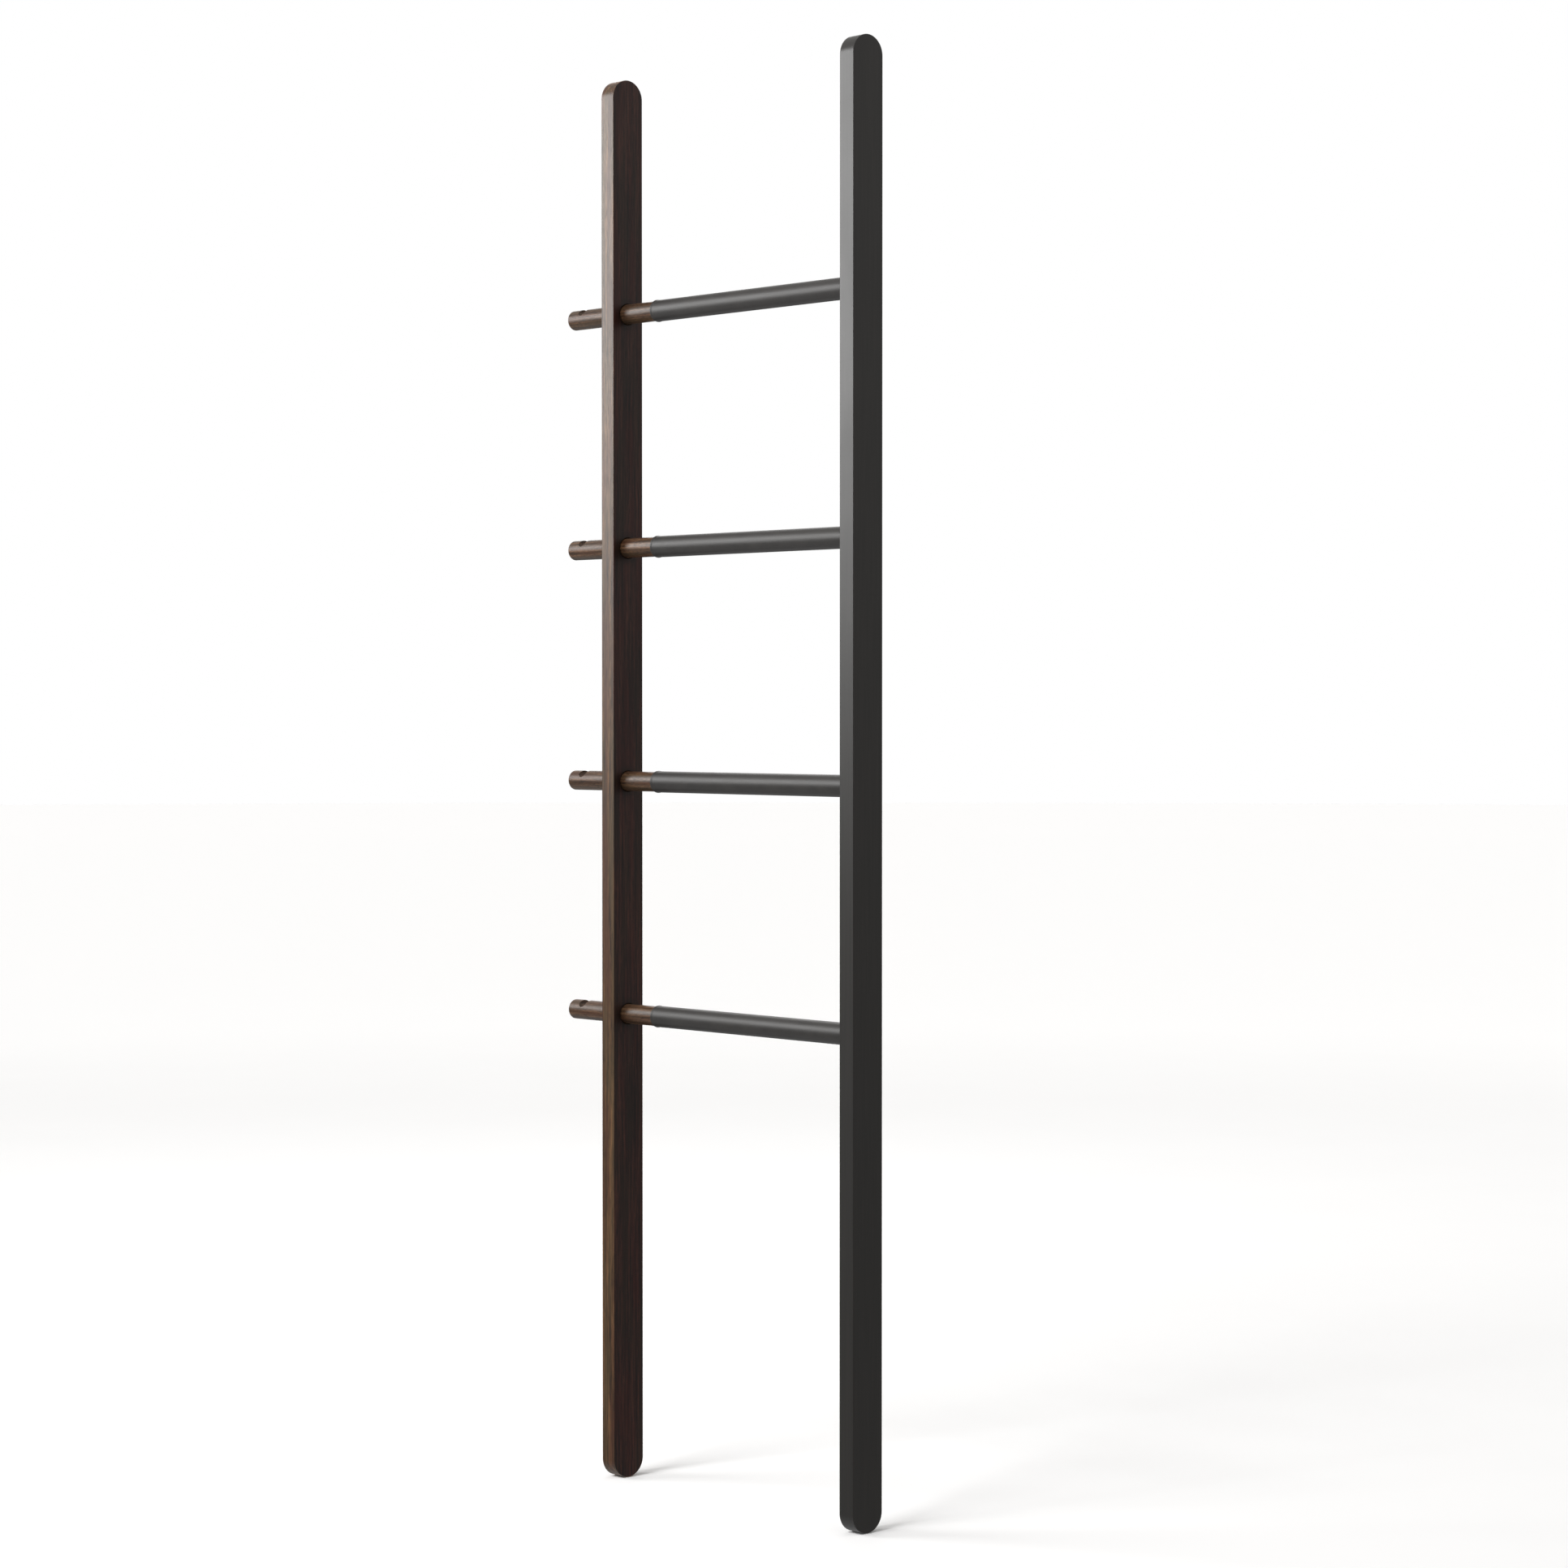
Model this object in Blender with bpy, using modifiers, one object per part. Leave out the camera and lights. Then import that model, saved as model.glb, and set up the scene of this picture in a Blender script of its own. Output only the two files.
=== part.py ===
"""Adjustable ladder rack: a stained wood side and a black side that slide in and out of each other.

The black side is a lacquered rail with four steel tubes. The wood side is a rail with four dowels that run
through it: their outer ends are pegs for hangers, and their inner ends telescope in the tubes.
Metres, +Z up, +X along the rungs towards the black rail, -Y the front. The origin is on the floor, at the
centre of the closed rack's outline in plan.
"""

import math

import bmesh
import bpy

# Overall sizes
RAIL_LENGTH = 1.524
RAIL_DEPTH = 0.0405
RAIL_THICKNESS = 0.0205
RAIL_EDGE = 0.0005
EASED_EDGE_ANGLE = math.radians(50)
CLOSED_GAP = 0.3625
RUNG_COUNT = 4
TOP_RUNG_DROP = 0.254
RUNG_PITCH = 0.254

# Tubes
TUBE_DIAMETER = 0.023
TUBE_WALL = 0.0006
DOWEL_SHOW = 0.051
LIP_HEIGHT = 0.0005
LIP_LENGTH = 0.004
SOCKET_DEPTH = 0.012

# Dowels, and the pegs and notches at their outer ends
DOWEL_RUNNING_CLEARANCE = 0.0002
DOWEL_END_ROUND = 0.0009
PEG_REACH = 0.071
NOTCH_INSET = 0.021
NOTCH_WIDTH = 0.011
NOTCH_DEPTH = 0.007
STOP_GAP = 0.001
HOLE_CHAMFER = 0.0008

# Friction rings on the dowels' inner ends
RING_SECTION = 0.002
RING_SQUEEZE = 0.00015
RING_INSET = 0.012

# Plugs and screws that hold the tubes to the black rail
PLUG_LENGTH = 0.018
PLUG_CHAMFER = 0.001
SCREW_DIAMETER = 0.004
SCREW_HEAD_DIAMETER = 0.008
SCREW_HEAD_HEIGHT = 0.0022
SCREW_HOLE_SKIN = 0.0017
SCREW_THREAD_PITCH = 0.0016
SCREW_THREAD_DEPTH = 0.0004
SCREW_DRIVE = 0.003
SCREW_DRIVE_DEPTH = 0.0015

# Pins that hold the dowels in the wood rail
PIN_DIAMETER = 0.0025
PIN_BITE = 0.0065
PIN_RECESS = 0.0005

# Rubber pads let into the rails' round lower ends
PAD_WIDTH = 0.0125
PAD_THICKNESS = 0.0018
PAD_PROUD = 0.0004
PAD_HALF_ANGLE = math.radians(17)

# Fits and fineness
GAP = 0.0003
OVERCUT = 0.002
RING_STEPS = 32
SCREW_STEPS = 12
ARC_STEPS = 20
PAD_ARC_STEPS = 6
LIP_STEPS = 5
ROUND_STEPS = 2
MERGE = 0.00001
SMOOTH_ANGLE = math.radians(35)

# Places that follow from the sizes
OUTLINE_HALF_WIDTH = (PEG_REACH + 2 * RAIL_THICKNESS + CLOSED_GAP) / 2
BLACK_OUTER_X = OUTLINE_HALF_WIDTH
BLACK_INNER_X = BLACK_OUTER_X - RAIL_THICKNESS
WOOD_INNER_X = BLACK_INNER_X - CLOSED_GAP
WOOD_OUTER_X = WOOD_INNER_X - RAIL_THICKNESS
PEG_END_X = WOOD_OUTER_X - PEG_REACH
MOUTH_X = WOOD_INNER_X + DOWEL_SHOW
SOCKET_FLOOR_X = BLACK_INNER_X + SOCKET_DEPTH
TUBE_END_X = SOCKET_FLOOR_X - GAP
PLUG_FACE_X = TUBE_END_X - PLUG_LENGTH
DOWEL_END_X = PLUG_FACE_X - STOP_GAP
RING_X = DOWEL_END_X - RING_INSET
NOTCH_X = PEG_END_X + NOTCH_INSET
SCREW_HOLE_END_X = BLACK_OUTER_X - SCREW_HOLE_SKIN
SCREW_TIP_X = SCREW_HOLE_END_X - GAP
RAIL_BASE_Z = PAD_PROUD

TUBE_RADIUS = TUBE_DIAMETER / 2
BORE_RADIUS = TUBE_RADIUS - TUBE_WALL
DOWEL_RADIUS = BORE_RADIUS - DOWEL_RUNNING_CLEARANCE
HOLE_RADIUS = DOWEL_RADIUS + GAP
PLUG_RADIUS = BORE_RADIUS - GAP
RING_OUTER_RADIUS = BORE_RADIUS - RING_SQUEEZE
RING_CENTRE_RADIUS = RING_OUTER_RADIUS - RING_SECTION / 2
GROOVE_RADIUS = RING_OUTER_RADIUS - RING_SECTION - GAP
GROOVE_WIDTH = RING_SECTION + 2 * GAP
SCREW_HOLE_RADIUS = SCREW_DIAMETER / 2 + GAP
PIN_FRONT_Y = DOWEL_RADIUS - PIN_BITE
PIN_REAR_Y = RAIL_DEPTH / 2 - PIN_RECESS
TOP_RUNG_HEIGHT = RAIL_BASE_Z + RAIL_LENGTH - TOP_RUNG_DROP
RUNG_HEIGHTS = [TOP_RUNG_HEIGHT - (RUNG_COUNT - 1 - k) * RUNG_PITCH for k in range(RUNG_COUNT)]

# Turned shapes are drawn along Z and laid along X; flat outlines are drawn in XY and stood up in YZ.
LAID_ALONG_X = (0, math.radians(90), 0)
STOOD_IN_YZ = (math.radians(90), 0, math.radians(90))
LAID_ALONG_Y = (math.radians(-90), 0, 0)


def clear_scene():
    for obj in list(bpy.data.objects):
        bpy.data.objects.remove(obj, do_unlink=True)


def new_collection(name, parent=None):
    collection = bpy.data.collections.new(name)
    (parent or bpy.context.scene.collection).children.link(collection)
    return collection


def material(name, colour, roughness, metallic):
    made = bpy.data.materials.new(name)
    made.use_nodes = True
    shader = made.node_tree.nodes["Principled BSDF"]
    shader.inputs["Base Color"].default_value = (*colour, 1)
    shader.inputs["Roughness"].default_value = roughness
    shader.inputs["Metallic"].default_value = metallic
    made.diffuse_color = (*colour, 1)
    return made


def place(obj, collection, location, rotation):
    for old in list(obj.users_collection):
        old.objects.unlink(obj)
    collection.objects.link(obj)
    obj.location = location
    obj.rotation_euler = rotation
    return obj


def turned(name, profile, collection, location, closed=False, steps=RING_STEPS):
    """A profile of (radius, distance along the axis), outer side first from top to bottom, turned about X."""
    count = len(profile)
    edges = [(i, i + 1) for i in range(count - 1)]
    if closed:
        edges.append((count - 1, 0))
    mesh = bpy.data.meshes.new(name)
    mesh.from_pydata([(radius, 0, along) for radius, along in profile], edges, [])
    obj = bpy.data.objects.new(name, mesh)
    screw = obj.modifiers.new("turn", "SCREW")
    screw.steps = steps
    screw.render_steps = steps
    screw.use_merge_vertices = True
    screw.merge_threshold = MERGE
    return place(obj, collection, location, LAID_ALONG_X)


def flat_outline(name, points, thickness, collection, location):
    """A closed outline in the YZ plane, given thickness along X, as a welded mesh."""
    curve = bpy.data.curves.new(name, "CURVE")
    curve.dimensions = "2D"
    curve.fill_mode = "BOTH"
    curve.extrude = thickness / 2
    spline = curve.splines.new("POLY")
    spline.points.add(len(points) - 1)
    for point, (y, z) in zip(spline.points, points):
        point.co = (y, z, 0, 1)
    spline.use_cyclic_u = True
    drawn = bpy.data.objects.new(name + "_drawn", curve)
    bpy.context.scene.collection.objects.link(drawn)
    bpy.context.view_layer.update()
    evaluated = drawn.evaluated_get(bpy.context.evaluated_depsgraph_get())
    mesh = bpy.data.meshes.new_from_object(evaluated)
    bpy.data.objects.remove(drawn, do_unlink=True)
    mesh.name = name
    work = bmesh.new()
    work.from_mesh(mesh)
    bmesh.ops.remove_doubles(work, verts=work.verts, dist=MERGE)
    bmesh.ops.recalc_face_normals(work, faces=work.faces)
    work.to_mesh(mesh)
    work.free()
    return place(bpy.data.objects.new(name, mesh), collection, location, STOOD_IN_YZ)


def arc(centre_z, radius, start, end, steps):
    """Points (y, z) on an arc about (0, centre_z), with angles from +Y towards +Z."""
    angles = [start + (end - start) * i / steps for i in range(steps + 1)]
    return [(radius * math.cos(a), centre_z + radius * math.sin(a)) for a in angles]


def cylinder_along_y(name, radius, front_y, rear_y, collection, x, z, steps):
    mesh = bpy.data.meshes.new(name)
    work = bmesh.new()
    bmesh.ops.create_cone(
        work,
        cap_ends=True,
        segments=steps,
        radius1=radius,
        radius2=radius,
        depth=rear_y - front_y,
    )
    work.to_mesh(mesh)
    work.free()
    obj = bpy.data.objects.new(name, mesh)
    return place(obj, collection, (x, (front_y + rear_y) / 2, z), LAID_ALONG_Y)


def box(name, size, collection, centre):
    mesh = bpy.data.meshes.new(name)
    work = bmesh.new()
    bmesh.ops.create_cube(work, size=1)
    bmesh.ops.scale(work, vec=size, verts=work.verts)
    work.to_mesh(mesh)
    work.free()
    return place(bpy.data.objects.new(name, mesh), collection, centre, (0, 0, 0))


def hide_cutter(obj):
    obj.hide_render = True
    obj.display_type = "WIRE"


def cut(obj, cutters):
    """Takes a collection of cutters away from a piece."""
    for cutter in cutters.objects:
        hide_cutter(cutter)
    away = obj.modifiers.new("cut", "BOOLEAN")
    away.operation = "DIFFERENCE"
    away.solver = "EXACT"
    away.operand_type = "COLLECTION"
    away.collection = cutters


def settle(obj, finish):
    """Turns the modifiers into the mesh itself, shades it smooth and gives it its finish."""
    evaluated = obj.evaluated_get(bpy.context.evaluated_depsgraph_get())
    mesh = bpy.data.meshes.new_from_object(evaluated)
    obj.modifiers.clear()
    obj.data = mesh
    mesh.materials.clear()
    mesh.materials.append(finish)
    mesh.shade_smooth()
    mesh.set_sharp_from_angle(angle=SMOOTH_ANGLE)


def rail(name, centre_x, parts):
    """A board with a full half-round at each end and slightly eased edges."""
    half = RAIL_DEPTH / 2
    lower = arc(half, half, -math.pi, 0, ARC_STEPS)
    upper = arc(RAIL_LENGTH - half, half, 0, math.pi, ARC_STEPS)
    board = flat_outline(name, lower + upper, RAIL_THICKNESS, parts, (centre_x, 0, RAIL_BASE_Z))
    easing = board.modifiers.new("eased_edges", "BEVEL")
    easing.width = RAIL_EDGE
    easing.segments = ROUND_STEPS
    easing.limit_method = "ANGLE"
    easing.angle_limit = EASED_EDGE_ANGLE
    return board


def foot_pad(name, centre_x, parts):
    """A rubber strip curved round the rail's lower end, standing a little proud of it."""
    points = pad_outline(RAIL_DEPTH / 2 + PAD_PROUD, PAD_THICKNESS, PAD_HALF_ANGLE)
    return flat_outline(name, points, PAD_WIDTH, parts, (centre_x, 0, RAIL_BASE_Z))


def pad_pocket(name, centre_x, cutters):
    """The pocket that the pad lies in, open to the outside."""
    outer = RAIL_DEPTH / 2 + OVERCUT
    depth = OVERCUT - PAD_PROUD + PAD_THICKNESS + GAP
    half_angle = PAD_HALF_ANGLE + GAP / (RAIL_DEPTH / 2)
    points = pad_outline(outer, depth, half_angle)
    return flat_outline(name, points, PAD_WIDTH + 2 * GAP, cutters, (centre_x, 0, RAIL_BASE_Z))


def pad_outline(outer_radius, thickness, half_angle):
    """A band of an arc about the centre of the rail's lower half-round, symmetric about straight down."""
    down = -math.pi / 2
    centre = RAIL_DEPTH / 2
    outer = arc(centre, outer_radius, down - half_angle, down + half_angle, PAD_ARC_STEPS)
    inner = arc(centre, outer_radius - thickness, down + half_angle, down - half_angle, PAD_ARC_STEPS)
    return outer + inner


def tube_profile():
    """Outer side from the rail end down to the rolled lip at the mouth, then the bore back up."""
    length = TUBE_END_X - MOUTH_X
    lip = []
    for i in range(LIP_STEPS + 1):
        turn = math.pi * i / LIP_STEPS
        along = LIP_LENGTH * (1 + math.cos(turn)) / 2
        lip.append((TUBE_RADIUS + LIP_HEIGHT * math.sin(turn), along))
    return [(TUBE_RADIUS, length)] + lip + [(BORE_RADIUS, 0), (BORE_RADIUS, length)]


def dowel_profile():
    """From the inner end, past the ring groove, to the rounded peg end."""
    length = DOWEL_END_X - PEG_END_X
    groove = RING_X - PEG_END_X
    points = [(0, length)]
    points += rounded_end(length - DOWEL_END_ROUND, 1)
    points += [
        (DOWEL_RADIUS, groove + GROOVE_WIDTH / 2),
        (GROOVE_RADIUS, groove + GROOVE_WIDTH / 2),
        (GROOVE_RADIUS, groove - GROOVE_WIDTH / 2),
        (DOWEL_RADIUS, groove - GROOVE_WIDTH / 2),
    ]
    points += list(reversed(rounded_end(DOWEL_END_ROUND, -1)))
    points.append((0, 0))
    return points


def rounded_end(start, side):
    """A quarter round from the end face to the side of the dowel; side is 1 at the top end, -1 at the bottom."""
    points = []
    for i in range(ROUND_STEPS + 1):
        turn = math.pi / 2 * (1 - i / ROUND_STEPS)
        radius = DOWEL_RADIUS - DOWEL_END_ROUND * (1 - math.cos(turn))
        points.append((radius, start + side * DOWEL_END_ROUND * math.sin(turn)))
    return points


def through_hole_profile():
    """The hole for a dowel through the wood rail, with a chamfer at each face."""
    half = RAIL_THICKNESS / 2
    wide = HOLE_RADIUS + HOLE_CHAMFER + OVERCUT
    return [
        (0, half + OVERCUT),
        (wide, half + OVERCUT),
        (HOLE_RADIUS, half - HOLE_CHAMFER),
        (HOLE_RADIUS, -half + HOLE_CHAMFER),
        (wide, -half - OVERCUT),
        (0, -half - OVERCUT),
    ]


def socket_profile():
    """The seat for a tube in the black rail, with the pilot hole for its screw."""
    radius = TUBE_RADIUS + GAP
    depth = SCREW_HOLE_END_X - SOCKET_FLOOR_X
    return [
        (0, depth),
        (SCREW_HOLE_RADIUS, depth),
        (SCREW_HOLE_RADIUS, 0),
        (radius, 0),
        (radius, -SOCKET_DEPTH - OVERCUT),
        (0, -SOCKET_DEPTH - OVERCUT),
    ]


def plug_profile():
    """A solid plug with a countersunk bore, its countersink facing the tube's mouth."""
    sink_radius = SCREW_HEAD_DIAMETER / 2 + GAP
    sink_depth = SCREW_HEAD_HEIGHT + GAP
    return [
        (PLUG_RADIUS - PLUG_CHAMFER, PLUG_LENGTH),
        (PLUG_RADIUS, PLUG_LENGTH - PLUG_CHAMFER),
        (PLUG_RADIUS, PLUG_CHAMFER),
        (PLUG_RADIUS - PLUG_CHAMFER, 0),
        (sink_radius, 0),
        (SCREW_HOLE_RADIUS, sink_depth),
        (SCREW_HOLE_RADIUS, PLUG_LENGTH),
    ]


def screw_profile():
    """A countersunk wood screw, from its tip to its head, with a ridge for each turn of the thread."""
    length = SCREW_TIP_X - PLUG_FACE_X
    crest = SCREW_DIAMETER / 2
    root = crest - SCREW_THREAD_DEPTH
    thread_top = length - SCREW_DIAMETER
    turns = int((thread_top - SCREW_HEAD_HEIGHT) / 2 / SCREW_THREAD_PITCH)
    points = [(0, length), (root, thread_top)]
    for i in range(turns):
        points.append((crest, thread_top - (i + 0.5) * SCREW_THREAD_PITCH))
        points.append((root, thread_top - (i + 1) * SCREW_THREAD_PITCH))
    points += [(root, SCREW_HEAD_HEIGHT), (SCREW_HEAD_DIAMETER / 2, 0), (0, 0)]
    return points


def screw_drive_profile():
    """The hexagonal recess in the screw's head."""
    radius = SCREW_DRIVE / 2
    return [(0, SCREW_DRIVE_DEPTH), (radius, SCREW_DRIVE_DEPTH), (radius, -OVERCUT), (0, -OVERCUT)]


def add_pin_hole(name, cutters, x, z):
    """A hole from the wood rail's rear edge into the dowel, which both pieces are cut by."""
    radius = PIN_DIAMETER / 2 + GAP
    rear = RAIL_DEPTH / 2 + OVERCUT
    return cylinder_along_y(name, radius, PIN_FRONT_Y - GAP, rear, cutters, x, z, SCREW_STEPS)


def add_notch(name, cutters, z):
    """A round-bottomed slot across the top of the peg, its sides straight above the round."""
    radius = NOTCH_WIDTH / 2
    centre_z = z + DOWEL_RADIUS - NOTCH_DEPTH + radius
    reach = DOWEL_RADIUS + OVERCUT
    top = z + DOWEL_RADIUS + OVERCUT
    cylinder_along_y(name + "_round", radius, -reach, reach, cutters, NOTCH_X, centre_z, RING_STEPS)
    sides = (NOTCH_WIDTH, 2 * reach, top - centre_z)
    box(name + "_sides", sides, cutters, (NOTCH_X, 0, (top + centre_z) / 2))


def build_black_side(parts, cutters, finishes):
    centre_x = (BLACK_INNER_X + BLACK_OUTER_X) / 2
    rail_cutters = new_collection("black_rail_cutters", cutters)
    black_rail = rail("black_rail", centre_x, parts)
    pad_pocket("black_pad_pocket", centre_x, rail_cutters)
    pieces = [(foot_pad("black_foot_pad", centre_x, parts), "rubber"), (black_rail, "lacquer")]
    for number, z in enumerate(RUNG_HEIGHTS, 1):
        turned(f"socket_{number}", socket_profile(), rail_cutters, (SOCKET_FLOOR_X, 0, z))
        tube = turned(f"tube_{number}", tube_profile(), parts, (MOUTH_X, 0, z), closed=True)
        plug = turned(f"tube_plug_{number}", plug_profile(), parts, (PLUG_FACE_X, 0, z), closed=True)
        screw = turned(
            f"plug_screw_{number}", screw_profile(), parts, (PLUG_FACE_X, 0, z), steps=SCREW_STEPS
        )
        drive_cutters = new_collection(f"screw_{number}_cutters", cutters)
        turned(f"drive_{number}", screw_drive_profile(), drive_cutters, (PLUG_FACE_X, 0, z), steps=6)
        cut(screw, drive_cutters)
        pieces += [(tube, "tube_steel"), (plug, "plug_nylon"), (screw, "screw_steel")]
    cut(black_rail, rail_cutters)
    for piece, finish in pieces:
        settle(piece, finishes[finish])


def build_wood_side(parts, cutters, finishes):
    centre_x = (WOOD_INNER_X + WOOD_OUTER_X) / 2
    rail_cutters = new_collection("wood_rail_cutters", cutters)
    wood_rail = rail("wood_rail", centre_x, parts)
    pad_pocket("wood_pad_pocket", centre_x, rail_cutters)
    pieces = [(foot_pad("wood_foot_pad", centre_x, parts), "rubber"), (wood_rail, "stained_wood")]
    for number, z in enumerate(RUNG_HEIGHTS, 1):
        dowel_cutters = new_collection(f"dowel_{number}_cutters", cutters)
        pin_hole = add_pin_hole(f"pin_hole_{number}", dowel_cutters, centre_x, z)
        rail_cutters.objects.link(pin_hole)
        add_notch(f"notch_{number}", dowel_cutters, z)
        turned(f"dowel_hole_{number}", through_hole_profile(), rail_cutters, (centre_x, 0, z))
        dowel = turned(f"dowel_{number}", dowel_profile(), parts, (PEG_END_X, 0, z))
        cut(dowel, dowel_cutters)
        pin_name = f"dowel_pin_{number}"
        pin_radius = PIN_DIAMETER / 2
        pin = cylinder_along_y(
            pin_name, pin_radius, PIN_FRONT_Y, PIN_REAR_Y, parts, centre_x, z, SCREW_STEPS
        )
        ring = friction_ring(f"friction_ring_{number}", parts, z)
        pieces += [(dowel, "stained_wood"), (pin, "screw_steel"), (ring, "rubber")]
    cut(wood_rail, rail_cutters)
    for piece, finish in pieces:
        settle(piece, finishes[finish])
    slide = bpy.data.objects.new("wood_side_slide", None)
    parts.objects.link(slide)
    slide.location = (centre_x, 0, RUNG_HEIGHTS[0])
    bpy.context.view_layer.update()
    for piece, _ in pieces:
        piece.parent = slide
        piece.matrix_parent_inverse = slide.matrix_world.inverted()


def friction_ring(name, parts, z):
    bpy.ops.mesh.primitive_torus_add(
        major_radius=RING_CENTRE_RADIUS,
        minor_radius=RING_SECTION / 2,
        major_segments=RING_STEPS,
        minor_segments=SCREW_STEPS // 2,
    )
    ring = bpy.context.object
    ring.name = name
    ring.data.name = name
    return place(ring, parts, (RING_X, 0, z), LAID_ALONG_X)


def main():
    clear_scene()
    parts = new_collection("ladder_rack")
    cutters = new_collection("cutters")
    finishes = {
        "stained_wood": material("stained_wood", (0.052, 0.027, 0.016), 0.45, 0),
        "lacquer": material("black_lacquer", (0.012, 0.012, 0.012), 0.4, 0),
        "tube_steel": material("black_coated_steel", (0.014, 0.014, 0.014), 0.38, 0),
        "screw_steel": material("zinc_plated_steel", (0.55, 0.56, 0.57), 0.35, 1),
        "plug_nylon": material("black_nylon", (0.02, 0.02, 0.02), 0.5, 0),
        "rubber": material("black_rubber", (0.015, 0.015, 0.015), 0.85, 0),
    }
    build_black_side(parts, cutters, finishes)
    build_wood_side(parts, cutters, finishes)


main()
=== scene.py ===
# %% [markdown]
# # A ladder rack with two sides that slide into each other
# The rack is a black side with four steel tubes and a stained beech side with four dowels. This lesson
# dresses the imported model: each piece is drawn again as a fine surface, and each finish is built from
# nodes. Every place comes from the model's own boxes, so a piece lies where the engineering puts it.

# %% Load the frame
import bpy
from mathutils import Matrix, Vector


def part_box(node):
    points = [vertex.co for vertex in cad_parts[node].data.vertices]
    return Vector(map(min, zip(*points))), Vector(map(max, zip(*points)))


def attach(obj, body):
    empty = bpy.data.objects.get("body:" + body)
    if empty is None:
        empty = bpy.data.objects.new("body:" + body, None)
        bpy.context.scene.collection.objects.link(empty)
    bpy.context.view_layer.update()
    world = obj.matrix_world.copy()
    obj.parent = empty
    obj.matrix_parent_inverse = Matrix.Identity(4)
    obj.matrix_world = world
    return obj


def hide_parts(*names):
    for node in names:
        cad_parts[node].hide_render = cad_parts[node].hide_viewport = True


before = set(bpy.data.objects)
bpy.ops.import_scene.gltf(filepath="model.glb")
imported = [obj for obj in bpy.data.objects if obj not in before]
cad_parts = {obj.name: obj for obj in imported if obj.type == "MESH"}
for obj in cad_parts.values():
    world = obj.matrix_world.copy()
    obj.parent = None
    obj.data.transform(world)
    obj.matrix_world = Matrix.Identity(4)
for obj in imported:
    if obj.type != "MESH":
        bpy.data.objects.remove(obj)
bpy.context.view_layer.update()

# %% The tools and the unit
import math

import bmesh
import bpy
import numpy as np

MM = 0.001
RUNGS = (1, 2, 3, 4)
CLEARANCE = 0.3 * MM


def low_high(node, axis):
    """The lowest and highest value of a node's box along an axis: 0 for X, 1 for Y, 2 for Z."""
    low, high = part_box(node)
    return low[axis], high[axis]


rung_heights = [sum(low_high(f"tube_{k}", 2)) / 2 for k in RUNGS]
print("rung heights in mm:", [round(z / MM, 1) for z in rung_heights])

# %% [markdown]
# ## The camera
# A tall, thin object is best seen from far away through a long lens, so that its upright lines stay
# parallel. The camera stands a little above the rack's middle and tips down by about one degree. It sees
# the front edges, the black rail's outer face and the stained rail's inner face.

# %% Camera
CAMERA_PLACE = (3.0577, -2.6338, 0.8415)
CAMERA_TIP = 1.136
CAMERA_TURN = 48.225
SENSOR_WIDTH = 36
FOCAL_LENGTH = 87.195

camera = bpy.data.objects.new("camera", bpy.data.cameras.new("camera"))
bpy.context.scene.collection.objects.link(camera)
camera.location = CAMERA_PLACE
camera.rotation_euler = (math.radians(90 - CAMERA_TIP), 0, math.radians(CAMERA_TURN))
camera.data.sensor_width = SENSOR_WIDTH
camera.data.lens = FOCAL_LENGTH
bpy.context.scene.camera = camera
bpy.context.scene.view_settings.view_transform = "Standard"
print("camera distance in m:", round(camera.location.length, 2))

# %% [markdown]
# ## From grids to a closed piece
# A grid of points is the simplest surface: each point has two numbers, its row and its column, and four
# neighbours make a face. A piece here is a handful of such grids whose borders share points. They are sewn
# by merging those points, which also closes a pole, where a whole row falls on one point. Building the
# faces from the grid's own numbering takes no loop over points, so even a fine piece is quick to make.

# %% Grids of faces, and sewing them
MERGE = 0.001 * MM
SHARP = math.radians(38)


def grid_faces(rows, columns, first):
    """Four corners for each cell: a point, its neighbour in the row, and the two above these."""
    number = first + np.arange(rows * columns).reshape(rows, columns)
    corners = (number[:-1, :-1], number[:-1, 1:], number[1:, 1:], number[1:, :-1])
    return np.stack(corners, axis=-1).reshape(-1, 4)


def sewn(name, grids, material, body, node):
    """Joins grids of points [row, column, xyz] into one closed mesh, which stands for a node on a body."""
    points = np.concatenate([grid.reshape(-1, 3) for grid in grids])
    starts = np.cumsum([0] + [grid.shape[0] * grid.shape[1] for grid in grids])
    faces = [grid_faces(*grid.shape[:2], start) for grid, start in zip(grids, starts)]
    mesh = bpy.data.meshes.new(name)
    mesh.from_pydata(points.tolist(), [], np.concatenate(faces).tolist())
    work = bmesh.new()
    work.from_mesh(mesh)
    bmesh.ops.remove_doubles(work, verts=work.verts, dist=MERGE)
    bmesh.ops.recalc_face_normals(work, faces=work.faces)
    open_edges = sum(not edge.is_manifold for edge in work.edges)
    volume = work.calc_volume(signed=True)
    work.to_mesh(mesh)
    work.free()
    mesh.materials.append(material)
    mesh.shade_smooth()
    mesh.set_sharp_from_angle(angle=SHARP)
    piece = bpy.data.objects.new(name, mesh)
    bpy.context.scene.collection.objects.link(piece)
    even = piece.modifiers.new("even_shading", "WEIGHTED_NORMAL")
    even.keep_sharp = True
    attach(piece, body)
    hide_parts(node)
    cubic = round(volume / MM**3)
    print(f"{name}: {len(mesh.polygons)} faces, {open_edges} open edges, {cubic} mm3")


def turned(along, radius, height, steps):
    """A profile turned about an axis along X.
    A point goes round by x, radius times cos(turn), and height plus radius times sin(turn)."""
    turn = np.linspace(0, 2 * math.pi, steps + 1)[None, :]
    profile = (np.asarray(values, float).reshape(len(values), -1) for values in (along, radius))
    along, radius = np.broadcast_arrays(*profile)
    wide = np.broadcast_to(along, (len(along), steps + 1))
    return np.stack([wide, radius * np.cos(turn), height + radius * np.sin(turn)], axis=-1)


print("points closer than this many mm are sewn together:", MERGE / MM)

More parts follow.
